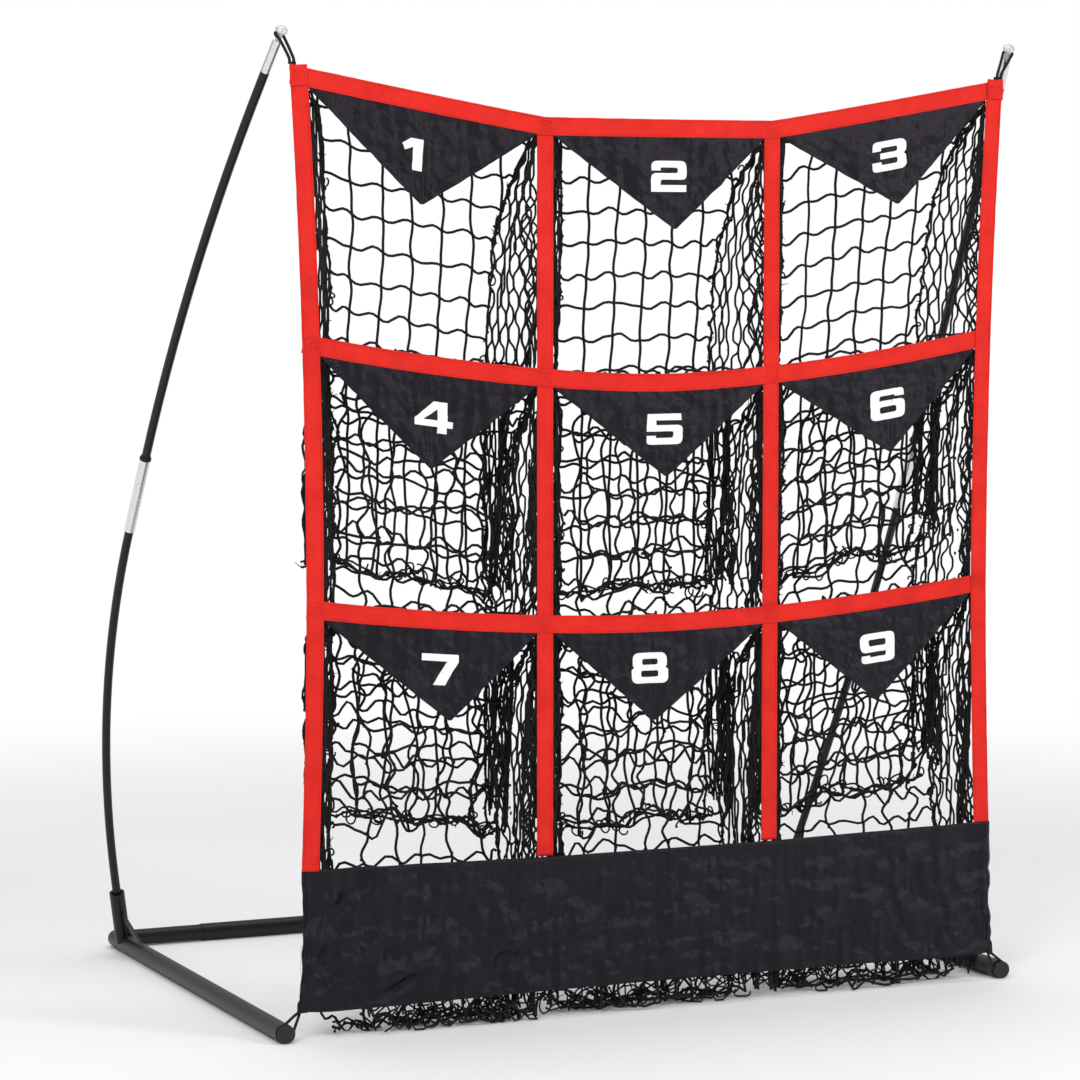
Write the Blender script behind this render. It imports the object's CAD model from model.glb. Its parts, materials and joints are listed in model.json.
# A standing target net: a panel of red tapes with nine cells, three rows by three. Each cell
# has a numbered black flag in front and a net pocket behind; a black skirt hangs below.
# x runs left (-) to right (+), -y is the front, z is up. Parts are built in millimetres,
# with y measured from the front of the base arms, and turned into metres at the end.
import json
import math

import bmesh
import bpy
import numpy as np
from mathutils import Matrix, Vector, noise
from mathutils.bvhtree import BVHTree


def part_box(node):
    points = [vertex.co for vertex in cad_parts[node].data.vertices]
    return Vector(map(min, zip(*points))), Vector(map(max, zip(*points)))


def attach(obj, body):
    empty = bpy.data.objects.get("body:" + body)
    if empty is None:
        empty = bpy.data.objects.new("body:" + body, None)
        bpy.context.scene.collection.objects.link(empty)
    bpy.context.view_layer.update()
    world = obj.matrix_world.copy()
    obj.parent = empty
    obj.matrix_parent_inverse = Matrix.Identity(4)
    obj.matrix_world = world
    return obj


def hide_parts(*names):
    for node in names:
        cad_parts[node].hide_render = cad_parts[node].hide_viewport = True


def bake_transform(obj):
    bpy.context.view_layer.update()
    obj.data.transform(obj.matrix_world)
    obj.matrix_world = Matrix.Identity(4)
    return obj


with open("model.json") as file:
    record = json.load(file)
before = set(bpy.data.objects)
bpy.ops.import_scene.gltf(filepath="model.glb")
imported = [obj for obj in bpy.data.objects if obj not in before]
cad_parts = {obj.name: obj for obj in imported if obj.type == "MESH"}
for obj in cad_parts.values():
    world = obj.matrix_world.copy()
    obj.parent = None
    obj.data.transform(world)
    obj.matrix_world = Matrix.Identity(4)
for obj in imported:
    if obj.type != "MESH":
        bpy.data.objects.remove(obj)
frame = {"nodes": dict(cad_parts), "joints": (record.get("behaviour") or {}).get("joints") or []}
scene = bpy.context.scene


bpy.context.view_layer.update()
ARM_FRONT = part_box("left_front_cap")[0].y * 1000.0
ROOT = "net_and_rear_bar"
rng = np.random.default_rng(20240611)
normal = rng.standard_normal

# ------------------------------------------------------------------ panel shape, mm
TAPE_W = 25.0
TAPE_T = 1.5
INNER_X = 175.0        # centre lines of the two inner upright tapes
SKIRT_TOP = 230.0
SIDES = ((-1, "left"), (1, "right"))


def z_row(row, x):
    """Centre height of a cross tape; row 0 is the top one."""
    a = abs(x)
    if row == 0:
        if a <= INNER_X:
            return 1240.5 + 0.5 * (a / INNER_X) ** 2
        return 1241 + 64 * ((a - INNER_X) / 372) ** 1.05
    if row == 1:
        return 887 + 9 * (a / 174) ** 1.7
    return 550 + 5 * (a / 172) ** 1.85


def x_out(z):
    """Half width of the panel, least at z = 600."""
    if z > 600:
        return 527.5 + 20.5 * ((z - 600) / 717) ** 2.14
    return 527.5 + 16.5 * ((600 - z) / 560) ** 1.53


def z_floor(row, x):
    """Top of whatever closes a cell below: the next cross tape or the skirt."""
    return SKIRT_TOP if row == 2 else z_row(row + 1, x) + TAPE_W / 2


def cell_side(col, side, z, gap):
    """x of a cell's left (-1) or right (1) side, a gap clear of the tape."""
    if side == col - 1:
        return side * (x_out(z) - TAPE_W - gap)
    tape_x = INNER_X if col + (side > 0) == 2 else -INNER_X
    return tape_x - side * TAPE_W / 2 - side * gap


def n1(x, y=0.0, z=0.0):
    return noise.noise(Vector((x, y, z)))


def fbm(x, y=0.0, z=0.0, octaves=3):
    """Layered noise, each layer finer and weaker."""
    gain, total, freq = 1.0, 0.0, 1.0
    for _ in range(octaves):
        total += gain * n1(x * freq, y * freq, z * freq)
        gain *= 0.5
        freq *= 2.03
    return total


def smooth01(t):
    t = np.clip(t, 0, 1)
    return t * t * (3 - 2 * t)


# ------------------------------------------------------------------ paths
def unit(v):
    return v / np.linalg.norm(v)


def arc_lengths(points):
    return np.concatenate(([0], np.cumsum(np.linalg.norm(np.diff(points, axis=0), axis=1))))


def sample(points, lengths, where):
    return np.column_stack([np.interp(where, lengths, points[:, i]) for i in range(3)])


def smooth(points, passes):
    for _ in range(passes):
        points[1:-1] = 0.5 * points[1:-1] + 0.25 * (points[2:] + points[:-2])
    return points


def even_path(points, count, passes):
    """The path at even spacing, then smoothed."""
    points = np.array(points)
    lengths = arc_lengths(points)
    return smooth(sample(points, lengths, np.linspace(0, lengths[-1], count)), passes)


def left_normals(line):
    """Unit normals on the left of a line of (x, z)."""
    d = np.gradient(line, axis=0)
    d /= np.linalg.norm(d, axis=1)[:, None]
    return np.column_stack((-d[:, 1], d[:, 0]))


# ------------------------------------------------------------------ mesh building
def icosphere():
    bm = bmesh.new()
    bmesh.ops.create_icosphere(bm, subdivisions=1, radius=1.0)
    verts = np.array([v.co[:] for v in bm.verts])
    faces = [tuple(v.index for v in face.verts) for face in bm.faces]
    bm.free()
    return verts, faces


ICO_VERTS, ICO_FACES = icosphere()
# material slots of a sewn part
CLOTH, THREAD, PRINT = 0, 1, 2
BOX_THREAD = dict(pitch=3.4, length=2.6, radius=0.27)
SKIRT_THREAD = dict(pitch=3.6, length=2.7, radius=0.26)
FINE_THREAD = dict(pitch=3.2, length=2.3, radius=0.2)

# half section of a tape: distance from the outer edge or share of the half width,
# and how far the face sinks there
HALF = TAPE_W / 2
SECTION_SINK = np.array([0.5, 0.16, 0.0, 0.12, 0.26, 0.22, 0.2,
                         0.22, 0.26, 0.12, 0.0, 0.16, 0.5])


def tape_section(half):
    """Stations across a tape, closer together at its rolled edges."""
    return np.array([-half, -half + 0.35, -half + 1.1, -half + 2.6, -half * 0.62, -half * 0.3, 0,
                     half * 0.3, half * 0.62, half - 2.6, half - 1.1, half - 0.35, half])


class Build:
    """Collects shapes into one mesh."""

    def __init__(self):
        self.verts, self.faces, self.slots, self.uvs, self.count = [], [], [], [], 0

    def add(self, verts, faces, slot=CLOTH, uv=None):
        verts = np.asarray(verts, float)
        self.verts.append(verts)
        self.uvs.append(verts[:, [0, 2]] / 1000.0 if uv is None else np.asarray(uv, float))
        self.faces.extend(tuple(i + self.count for i in face) for face in faces)
        self.slots.extend([slot] * len(faces))
        self.count += len(verts)

    def object(self, name, materials):
        verts = np.vstack(self.verts)
        verts[:, 1] += ARM_FRONT
        mesh = bpy.data.meshes.new(name)
        mesh.from_pydata([tuple(v) for v in verts / 1000.0], [], self.faces)
        layer = mesh.uv_layers.new(name="UVMap")
        index = np.empty(len(mesh.loops), np.int32)
        mesh.loops.foreach_get("vertex_index", index)
        uv = np.vstack(self.uvs)[index]
        layer.data.foreach_set("uv", uv.astype(np.float32).ravel())
        for material in materials:
            mesh.materials.append(material)
        mesh.polygons.foreach_set("material_index", np.array(self.slots, np.int32))
        mesh.polygons.foreach_set("use_smooth", [True] * len(mesh.polygons))
        mesh.update()
        ob = bpy.data.objects.new(name, mesh)
        scene.collection.objects.link(ob)
        return ob

    def tube(self, points, radius, sides=6, slot=CLOTH):
        """Round cord through points; radius is one value or one per point."""
        p = np.asarray(points, float)
        n = len(p)
        radii = np.zeros(n) + radius
        t = np.empty_like(p)
        t[1:-1] = p[2:] - p[:-2]
        t[0], t[-1] = p[1] - p[0], p[-1] - p[-2]
        t /= np.maximum(np.linalg.norm(t, axis=1), 1e-9)[:, None]
        ref = np.array([0.21, 0.93, 0.3] if abs(t[0][1]) < 0.8 else [0.95, 0.1, 0.3])
        u = unit(ref - ref.dot(t[0]) * t[0])
        us = np.empty_like(p)
        us[0] = u
        for i in range(1, n):
            u = u - u.dot(t[i]) * t[i]
            u = u / max(np.linalg.norm(u), 1e-9)
            us[i] = u
        ws = np.cross(t, us)
        angle = np.arange(sides) * 2 * math.pi / sides
        ring = (us[:, None, :] * np.cos(angle)[None, :, None]
                + ws[:, None, :] * np.sin(angle)[None, :, None]) * radii[:, None, None]
        verts = (p[:, None, :] + ring).reshape(-1, 3)
        uv = np.column_stack((np.repeat(arc_lengths(p) / 1000.0, sides),
                              np.tile(np.arange(sides) / sides, n)))
        faces = []
        for o in range(0, (n - 1) * sides, sides):
            for j in range(sides):
                nxt = (j + 1) % sides
                faces.append((o + j, o + sides + j, o + sides + nxt, o + nxt))
        faces.append(tuple(range(sides)))
        faces.append(tuple((n - 1) * sides + j for j in range(sides - 1, -1, -1)))
        self.add(verts, faces, slot, uv)

    def knot(self, point, radius, squash=(1, 1, 1)):
        rough = 1 + 0.16 * normal((len(ICO_VERTS), 1))
        self.add(ICO_VERTS * np.array(squash) * radius * rough + np.asarray(point), ICO_FACES)

    def stitches(self, points, pitch=3.6, length=2.7, radius=0.28):
        """A row of thread stitches along points on the cloth's front."""
        p = np.asarray(points, float)
        lengths = arc_lengths(p)
        lift = np.array([-0.25, 0.1, 0.22, 0.1, -0.25])
        taper = np.array([0.7, 1, 1.08, 1, 0.7])
        s = pitch * 0.4
        while s + length < lengths[-1]:
            where = [s, s + length * 0.22, s + length * 0.5, s + length * 0.78, s + length]
            thread = sample(p, lengths, where)
            thread[:, 1] -= lift
            self.tube(thread, taper * radius, 5, THREAD)
            s += pitch * (1 + 0.05 * normal())

    def box_stitch(self, x, z, y, half_w, half_h, slope=0.0):
        """A stitched box with both diagonals."""
        corners = [(-half_w, -half_h), (half_w, -half_h), (half_w, half_h), (-half_w, half_h),
                   (-half_w, -half_h)]
        p = [(x + dx, y, z + dz + dx * slope) for dx, dz in corners]
        for line in (p, [p[0], p[2]], [p[3], p[1]]):
            self.stitches(line, **BOX_THREAD)

    def edge_stitches(self, line, width, y):
        """A row of stitches near each edge of a tape."""
        c = np.asarray(line, float)
        n = left_normals(c)
        edge = width / 2 - 2.6
        for off in (-edge, edge):
            self.stitches(np.column_stack((c[:, 0] + n[:, 0] * off, np.full(len(c), y + 0.08),
                                           c[:, 1] + n[:, 1] * off)))

    def ribbon(self, line, width, y, seed, wobble=0.35):
        """Woven tape along (x, z) points, its front face at y, with rolled edges."""
        c = np.asarray(line, float)
        normals = left_normals(c)
        lengths = arc_lengths(c)
        half = width / 2
        us = tape_section(half)
        n, k = len(c), len(us)
        verts, uv = [], []
        for centre, nrm, s in zip(c, normals, lengths):
            for back in (False, True):
                for j in (range(k - 1, -1, -1) if back else range(k)):
                    u = us[j]
                    w = (wobble * fbm(s / 55.0, u / 30.0, seed, 2)
                         + wobble * 0.35 * n1(s / 11.0, u / 9.0, seed + 7))
                    ragged = 0.0
                    if abs(u) > half - 3:
                        ragged = 0.35 * n1(s / 24.0, seed * 3 + (1 if u > 0 else 5))
                    off = u + (ragged if u > 0 else -ragged)
                    sink = TAPE_T - SECTION_SINK[j] * 0.6 if back else SECTION_SINK[j]
                    verts.append((centre[0] + nrm[0] * off, y + sink + w,
                                  centre[1] + nrm[1] * off))
                    uv.append((s / 1000.0, (u + 60 if back else u) / 1000.0))
        around = 2 * k
        faces = []
        for a in range(0, (n - 1) * around, around):
            b = a + around
            for j in range(around):
                nxt = (j + 1) % around
                faces.append((b + j, b + nxt, a + nxt, a + j))
        faces.append(tuple(range(around)))
        faces.append(tuple((n - 1) * around + j for j in range(around - 1, -1, -1)))
        self.add(verts, faces, CLOTH, uv)


def two_face_grid(rows, cols):
    """Quads of a front grid and, numbered after it, a back grid."""
    back = rows * cols
    faces = []
    for i in range(rows - 1):
        for j in range(cols - 1):
            a = i * cols + j
            faces.append((a, a + cols, a + cols + 1, a + 1))
            faces.append((back + a, back + a + 1, back + a + cols + 1, back + a + cols))
    return faces


# ------------------------------------------------------------------ materials
class Shader:
    """A new material, with helpers that add nodes and return their outputs."""

    def __init__(self, name, inputs=None):
        self.material = bpy.data.materials.new(name)
        self.material.use_nodes = True
        self.tree = self.material.node_tree
        self.main = self.tree.nodes["Principled BSDF"]
        for key, value in (inputs or {}).items():
            self.main.inputs[key].default_value = value

    def add(self, kind):
        return self.tree.nodes.new("ShaderNode" + kind)

    def link(self, output, socket):
        self.tree.links.new(output, socket)

    def feed(self, name, output):
        self.link(output, self.main.inputs[name])

    def math(self, operation, *values):
        n = self.add("Math")
        n.operation = operation
        for socket, value in zip(n.inputs, values):
            if hasattr(value, "links"):
                self.link(value, socket)
            else:
                socket.default_value = value
        return n.outputs[0]

    def plus(self, a, b):
        return self.math("ADD", a, b)

    def times(self, a, b):
        return self.math("MULTIPLY", a, b)

    def waves(self, along, pitch):
        return self.math("SINE", self.times(along, 2 * math.pi / pitch))

    def total(self, *terms):
        """Sum of (output, weight) terms."""
        result = self.times(*terms[0])
        for term in terms[1:]:
            result = self.plus(result, self.times(*term))
        return result

    def spread(self, fac, low, high):
        """low where fac is 0, high where it is 1."""
        return self.plus(self.times(fac, high - low), low)

    def ramp(self, fac, *stops):
        """Colour ramp; each stop is a position and a colour."""
        n = self.add("ValToRGB")
        elements = n.color_ramp.elements
        while len(elements) < len(stops):
            elements.new(0.5)
        for element, (position, colour) in zip(elements, stops):
            element.position = position
            element.color = (*colour, 1)
        self.link(fac, n.inputs[0])
        return n.outputs[0]

    def bump(self, height, strength, distance, under=None):
        n = self.add("Bump")
        n.inputs["Strength"].default_value = strength
        n.inputs["Distance"].default_value = distance
        self.link(height, n.inputs["Height"])
        if under is not None:
            self.link(under, n.inputs["Normal"])
        return n.outputs[0]

    def place(self):
        return self.add("TexCoord").outputs["Object"]

    def uv(self):
        coord = self.add("TexCoord")
        split = self.add("SeparateXYZ")
        self.link(coord.outputs["UV"], split.inputs[0])
        return split.outputs[0], split.outputs[1]

    def noise(self, place, scale, detail=3, rough=0.55, stretch=None):
        n = self.add("TexNoise")
        n.inputs["Scale"].default_value = scale
        n.inputs["Detail"].default_value = detail
        n.inputs["Roughness"].default_value = rough
        if stretch:
            mapping = self.add("Mapping")
            mapping.inputs["Scale"].default_value = stretch
            self.link(place, mapping.inputs[0])
            place = mapping.outputs[0]
        self.link(place, n.inputs["Vector"])
        return n.outputs["Fac"]


def webbing(name, light, mid, dark):
    """Woven tape: fine ribs across, warp lines along, tone that wanders a little."""
    sh = Shader(name, {"Roughness": 0.62, "Specular IOR Level": 0.18, "Sheen Weight": 0.06,
                       "Sheen Roughness": 0.4, "Sheen Tint": (1, 0.62, 0.55, 1)})
    along, across = sh.uv()
    ribs = sh.waves(along, pitch=0.0011)
    warp = sh.waves(across, pitch=0.0016)
    weave = sh.times(ribs, warp)
    body = sh.total((weave, 0.5), (ribs, 0.35))
    place = sh.place()
    patches = sh.noise(place, scale=26, detail=4, rough=0.6)
    fine = sh.noise(place, scale=900, detail=2, rough=0.6)
    tone = sh.total((patches, 0.8), (fine, 0.22), (body, 0.06))
    sh.feed("Base Color", sh.ramp(tone, (0.22, dark), (0.5, mid), (0.8, light)))
    woven = sh.bump(body, strength=0.55, distance=0.00022)
    sh.feed("Normal", sh.bump(patches, strength=0.35, distance=0.0012, under=woven))
    return sh.material


def nylon(name):
    """Coated nylon: tight weave, silky sheen, creases picked out by the light."""
    sh = Shader(name, {"Specular IOR Level": 0.24, "Specular Tint": (0.94, 0.83, 1.0, 1),
                       "Sheen Weight": 0.004, "Sheen Roughness": 0.35,
                       "Sheen Tint": (0.7, 0.66, 0.78, 1)})
    along, across = sh.uv()
    weft = sh.waves(along, pitch=0.00075)
    warp = sh.waves(across, pitch=0.00075)
    weave = sh.times(weft, warp)
    place = sh.place()
    slub = sh.noise(place, scale=55, detail=4, rough=0.62, stretch=(0.35, 1, 3.2))
    crease = sh.noise(place, scale=15, detail=3, rough=0.5)
    tone = sh.total((slub, 0.7), (crease, 0.35))
    sh.feed("Base Color", sh.ramp(tone, (0.3, (0.0028, 0.0024, 0.0034)),
                                  (0.55, (0.0046, 0.0040, 0.0054)),
                                  (0.8, (0.0085, 0.0074, 0.0094))))
    sh.feed("Roughness", sh.spread(slub, low=0.22, high=0.38))
    woven = sh.bump(weave, strength=0.35, distance=0.00012)
    sh.feed("Normal", sh.bump(crease, strength=0.9, distance=0.0160, under=woven))
    return sh.material


def cord(name, base, high, pitch, rough):
    """Twisted or braided cord, its strands running round the tube."""
    sh = Shader(name, {"Roughness": rough, "Specular IOR Level": 0.22, "Sheen Weight": 0.02})
    along, around = sh.uv()
    phase = sh.total((along, 2 * math.pi / pitch), (around, 4 * math.pi))
    twist = sh.math("SINE", phase)
    grain = sh.noise(sh.place(), scale=160, detail=3, rough=0.6)
    tone = sh.plus(sh.times(twist, 0.18), grain)
    sh.feed("Base Color", sh.ramp(tone, (0.3, base), (0.85, high)))
    sh.feed("Normal", sh.bump(twist, strength=0.6, distance=0.0004))
    return sh.material


def coat(name, dark, light, rough, grain, relief, gloss=0.0, scuff=None):
    """Powder coat or moulded plastic: fine grain, worn patches, scuffs in their own colour."""
    sh = Shader(name, {"Specular IOR Level": 0.28, "Coat Weight": gloss,
                       "Coat Roughness": 0.25})
    place = sh.place()
    patches = sh.noise(place, scale=9, detail=5, rough=0.6)
    fine = sh.noise(place, scale=grain, detail=2, rough=0.5)
    streaks = sh.noise(place, scale=40, detail=3, rough=0.6, stretch=(1, 0.12, 1))
    tone = sh.total((patches, 0.6), (streaks, 0.4))
    colour = sh.ramp(tone, (0.3, dark), (0.72, light))
    if scuff:
        marks = sh.ramp(sh.noise(place, scale=130, detail=6, rough=0.75),
                        (0.66, (0, 0, 0)), (0.74, (1, 1, 1)))
        mix = sh.add("Mix")
        mix.data_type = "RGBA"
        sh.link(sh.times(marks, 0.35), mix.inputs["Factor"])
        sh.link(colour, mix.inputs["A"])
        mix.inputs["B"].default_value = (*scuff, 1)
        colour = mix.outputs["Result"]
    sh.feed("Base Color", colour)
    sh.feed("Roughness", sh.spread(tone, *rough))
    sh.feed("Normal", sh.bump(fine, strength=relief, distance=0.0002))
    return sh.material


def steel(name):
    """Bright drawn steel with fine lines."""
    sh = Shader(name, {"Metallic": 1.0})
    lines = sh.noise(sh.place(), scale=240, detail=3, rough=0.6, stretch=(0.2, 1, 6))
    sh.feed("Base Color", sh.ramp(lines, (0.3, (0.62, 0.62, 0.64)), (0.7, (0.86, 0.86, 0.88))))
    sh.feed("Roughness", sh.spread(lines, low=0.16, high=0.30))
    sh.feed("Normal", sh.bump(lines, strength=0.12, distance=0.0002))
    return sh.material


def number_print(name):
    """White print, faintly mottled."""
    sh = Shader(name)
    mottle = sh.noise(sh.place(), scale=300, detail=4, rough=0.6)
    sh.feed("Base Color", sh.ramp(mottle, (0.3, (0.80, 0.80, 0.81)), (0.7, (0.93, 0.93, 0.93))))
    sh.feed("Roughness", sh.spread(mottle, low=0.4, high=0.6))
    sh.feed("Normal", sh.bump(mottle, strength=0.2, distance=0.0003))
    return sh.material


RED = webbing("tape_webbing", light=(0.80, 0.026, 0.015), mid=(0.70, 0.017, 0.010),
              dark=(0.54, 0.010, 0.007))
THREAD_RED = cord("thread_red", base=(0.50, 0.016, 0.010), high=(0.72, 0.035, 0.02),
                  pitch=0.001, rough=0.6)
NYLON = nylon("nylon_black")
THREAD_BLACK = cord("thread_black", base=(0.006, 0.006, 0.007), high=(0.03, 0.028, 0.032),
                    pitch=0.001, rough=0.55)
NET = cord("net_cord", base=(0.0035, 0.0035, 0.0038), high=(0.016, 0.016, 0.017),
           pitch=0.0046, rough=0.7)
ELASTIC = cord("elastic_cord", base=(0.005, 0.005, 0.006), high=(0.022, 0.022, 0.024),
               pitch=0.0028, rough=0.6)
ARM = coat("arm_powder_coat", dark=(0.022, 0.0225, 0.024), light=(0.040, 0.0405, 0.043),
           rough=(0.36, 0.5), grain=1300, relief=0.2, gloss=0.042, scuff=(0.12, 0.12, 0.12))
BAR = coat("bar_powder_coat", dark=(0.004, 0.004, 0.005), light=(0.010, 0.010, 0.011),
           rough=(0.30, 0.44), grain=1300, relief=0.16, gloss=0.0525, scuff=(0.05, 0.05, 0.05))
CAP = coat("cap_plastic", dark=(0.014, 0.012, 0.016), light=(0.026, 0.023, 0.028),
           rough=(0.5, 0.62), grain=1800, relief=0.25)
BUSH = coat("bush_plastic", dark=(0.006, 0.006, 0.006), light=(0.013, 0.013, 0.013),
            rough=(0.5, 0.65), grain=1500, relief=0.2)
POLE = coat("pole_fibreglass", dark=(0.004, 0.004, 0.005), light=(0.009, 0.009, 0.010),
            rough=(0.26, 0.4), grain=700, relief=0.1, gloss=0.07)
STEEL = steel("ferrule_steel")
# The knob's grain is bumped at 0.08 and it has no scuffs.
KNOB = coat("knob_plastic", dark=(0.52, 0.52, 0.54), light=(0.66, 0.66, 0.68),
            rough=(0.28, 0.42), grain=900, relief=0.08)
# its metal-like sheen
KNOB.node_tree.nodes["Principled BSDF"].inputs["Metallic"].default_value = 0.35
WHITE = number_print("number_print")

# words in a CAD node's name and its material; the first match wins
NODE_MATERIALS = (
    (("base_arm", "rear_plug"), ARM),
    (("crossbar", "rear_stub", "socket_gusset", "pole_socket"), BAR),
    (("front_cap",), CAP),
    (("bush", "collar"), BUSH),
    (("pole",), POLE),
    (("ferrule", "tip_sleeve"), STEEL),
    (("knob",), KNOB),
)
for node_name, ob in frame["nodes"].items():
    for words, material in NODE_MATERIALS:
        if any(word in node_name for word in words):
            ob.data.materials.clear()
            ob.data.materials.append(material)
            break

# ------------------------------------------------------------------ tapes
# front faces of the cross, side and inner upright tapes
CROSS_Y, SIDE_Y, UP_Y = 3.6, 2.0, 5.2


def piece(part, name, materials, node):
    """Makes the object, fixed to the net, in place of a CAD node."""
    ob = part.object(name, materials)
    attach(ob, ROOT)
    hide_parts(node)


def tape(part, name, node):
    piece(part, name, [RED, THREAD_RED], node)


def cross_tape(row, word):
    end = x_out(z_row(row, 530)) - 1.5
    line = [(x, z_row(row, x)) for x in np.linspace(-end, end, 271)]
    part = Build()
    part.ribbon(line, TAPE_W, CROSS_Y, seed=row * 11.3)
    part.edge_stitches(line[4:-4], TAPE_W, CROSS_Y)
    for x in (-INNER_X, INNER_X):
        slope = (z_row(row, x + 5) - z_row(row, x - 5)) / 10
        part.box_stitch(x, z_row(row, x), CROSS_Y + 0.16, 9, 7, slope)
    tape(part, f"tape_{word}", f"{word}_tape")


def side_tape(s, side):
    line = [(s * (x_out(z) - HALF), z) for z in np.linspace(SKIRT_TOP + 3, 1317.5, 275)]
    part = Build()
    part.ribbon(line, TAPE_W, SIDE_Y, seed=31 + s)
    part.edge_stitches(line[2:-6], TAPE_W, SIDE_Y)
    for row in (1, 2):
        z = z_row(row, 530)
        part.box_stitch(s * (x_out(z) - HALF), z, SIDE_Y + 0.16, 8.5, 8)
    tape(part, f"tape_side_{side}", f"{side}_side_tape")


def inner_tape(s, side):
    width = TAPE_W - 0.6
    top = z_row(0, INNER_X) + HALF - 2
    line = [(s * INNER_X, z) for z in np.linspace(SKIRT_TOP + 0.6, top, 260)]
    part = Build()
    part.ribbon(line, width, UP_Y, seed=47 + s, wobble=0.5)
    part.edge_stitches(line[1:-8], width, UP_Y)
    tape(part, f"tape_inner_{side}", f"{side}_inner_tape")


# patch corners (x, z) on the right: outer top, inner top, inner bottom, outer bottom
PATCH = [np.array(c, float) for c in
         ((547.6, 1318.5), (523, 1313), (523.5, 1290.5), (547.6, 1288.5))]


def corner_patch(s, side):
    """Doubled corner with a small step where the layers end."""
    n = 22
    outer_top, inner_top, inner_bottom, outer_bottom = PATCH
    verts, uv = [], []
    for back in (0, 1):
        for i in range(n):
            for j in range(n):
                u, w = i / (n - 1), j / (n - 1)
                x, z = ((outer_top * (1 - u) + inner_top * u) * (1 - w)
                        + (outer_bottom * (1 - u) + inner_bottom * u) * w)
                rolled = 0.55 * max(0.0, 1 - min(u, 1 - u, w, 1 - w) / 0.06) ** 2
                puff = (-0.3 * math.sin(math.pi * u) * math.sin(math.pi * w)
                        + 0.35 * fbm(u * 3, w * 3, 5 + s))
                step = -0.25 if (u + w * 0.35) > 0.62 else 0.0
                y = 1.75 - rolled * 0.4 if back else min(0.2 + puff * 0.7 + step + rolled, 1.6)
                verts.append((s * x, y, z))
                uv.append((u * 0.034, w * 0.03 + back))
    faces = two_face_grid(n, n)
    under = n * n
    rim = ([i * n for i in range(n)] + [(n - 1) * n + j for j in range(1, n)]
           + [i * n + n - 1 for i in range(n - 2, -1, -1)] + list(range(n - 2, 0, -1)))
    for a, b in zip(rim, rim[1:] + rim[:1]):
        faces.append((a, a + under, b + under, b))
    if s > 0:
        faces = [tuple(reversed(face)) for face in faces]
    part = Build()
    part.add(verts, faces, CLOTH, uv)
    part.box_stitch(s * 535.5, 1302.5, 0.0, 8, 7, s * 0.17)
    tape(part, f"corner_patch_{side}", f"{side}_corner_patch")


for row, word in enumerate(("top", "upper", "lower")):
    cross_tape(row, word)
for s, side in SIDES:
    side_tape(s, side)
    inner_tape(s, side)
    corner_patch(s, side)

# ------------------------------------------------------------------ cloth before it settles
FLAG_ROWS, FLAG_COLS = 38, 72
FLAG_TAB = 0.12         # share of a flag's rows that form the tab behind the tape
SKIRT_ROWS, SKIRT_COLS = 44, 232
# lowest point (x, z) of each flag
FLAG_APEX = {
    1: (-358, 1135), 2: (23, 1103), 3: (378, 1140),
    4: (-345, 777), 5: (10, 758), 6: (368, 785),
    7: (-318, 430), 8: (-7, 415), 9: (349, 427),
}


def sheet_object(name, grid, materials):
    """A single-faced sheet from a (rows, cols, 3) grid, its faces looking to the front."""
    rows, cols = grid.shape[:2]
    part = Build()
    part.add(grid.reshape(-1, 3),
             [(a, a + 1, a + cols + 1, a + cols)
              for i in range(rows - 1) for a in range(i * cols, i * cols + cols - 1)])
    ob = part.object(name, materials)
    ob.data.flip_normals()
    return ob


def flag_grid(k):
    """A straight tab under the tape, then a triangle down to the apex."""
    row, col = divmod(k - 1, 3)
    level = z_row(row, 520) - 15
    left, right = (cell_side(col, side, level, gap=0.6) for side in (-1, 1))
    apex_x, apex_z = FLAG_APEX[k]
    grid = np.zeros((FLAG_ROWS, FLAG_COLS, 3))
    for i in range(FLAG_ROWS):
        t = i / (FLAG_ROWS - 1)
        in_tab = t < FLAG_TAB
        q = t / FLAG_TAB if in_tab else (t - FLAG_TAB) / (1 - FLAG_TAB)
        for j in range(FLAG_COLS):
            u = j / (FLAG_COLS - 1)
            top_x = left + (right - left) * u
            top_z = z_row(row, top_x) - HALF + 6.0
            tip_x = apex_x + (u - 0.5) * 4
            if in_tab:
                x, z = top_x, top_z - 6.0 * q - 1.5 * q
            else:
                x = top_x + (tip_x - top_x) * q
                z = (top_z - 6.0 - 1.5) * (1 - q) + apex_z * q
            y = 4.6 + min(1.0, t * 2.2) * (
                2.6 * fbm(x / 70, z / 46, k * 3.7, 3) - 0.3
                + 0.75 * fbm(x / 27 + z / 40, z / 19, k * 1.9, 2))
            if in_tab:
                y = 5.35 + (y - 5.35) * q ** 2 * 0.5
            else:
                y += 1.3 * math.sin(math.pi * min(1, q)) * n1(x / 26 + z / 60, k)
            grid[i, j] = (x, y, z)
    return grid


def skirt_top(x):
    return SKIRT_TOP + 5.8 * max(0.0, abs(x) - INNER_X) / (536 - INNER_X)


def skirt_bottom(u):
    """u runs from -1 at the left corner to 1 at the right."""
    return 40 + 4 * (1 - u * u)


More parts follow.
